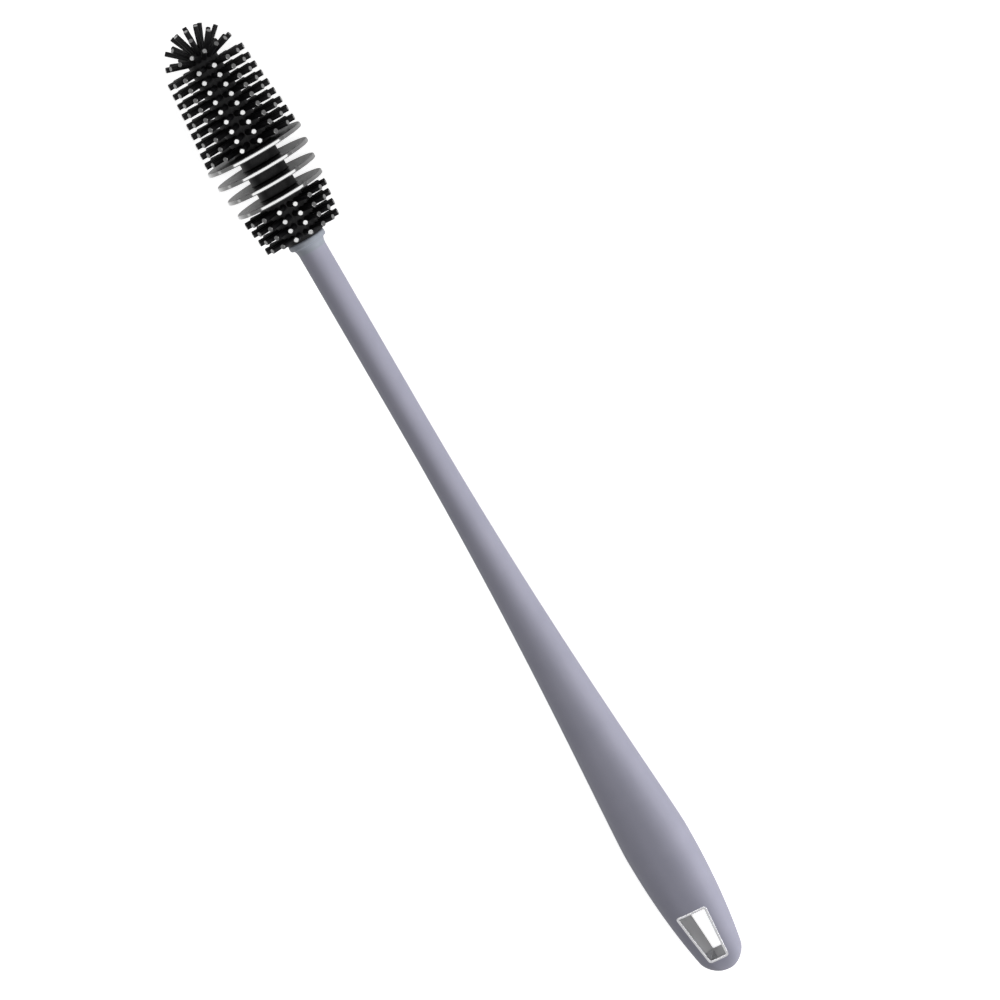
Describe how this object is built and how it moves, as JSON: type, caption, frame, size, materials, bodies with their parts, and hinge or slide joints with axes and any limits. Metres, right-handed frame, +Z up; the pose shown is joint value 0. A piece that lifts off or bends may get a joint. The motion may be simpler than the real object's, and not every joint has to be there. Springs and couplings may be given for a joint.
{
  "type": "bottle brush",
  "caption": "Long-handled bottle brush: one soft head of bristles and scraper discs on a round shaft with an oval grip and a plated hanging slot.",
  "frame": {"origin": "middle of the brush's length and width, on the surface that the brush lies on", "axes": "+X along the brush from the butt of the grip to the tip of the head, +Z up through the flat face of the grip, +Y across the grip to the left of the head's direction"},
  "size_m": [0.3199, 0.03, 0.03],
  "materials": {
    "head_silicone": "glossy black silicone",
    "handle_grey": "matte soft-touch lavender grey",
    "liner_chrome": "bright plated"
  },
  "bodies": {
    "root": {"brush_head": "head_silicone", "handle": "handle_grey", "hang_slot_liner": "liner_chrome"}
  },
  "joints": []
}
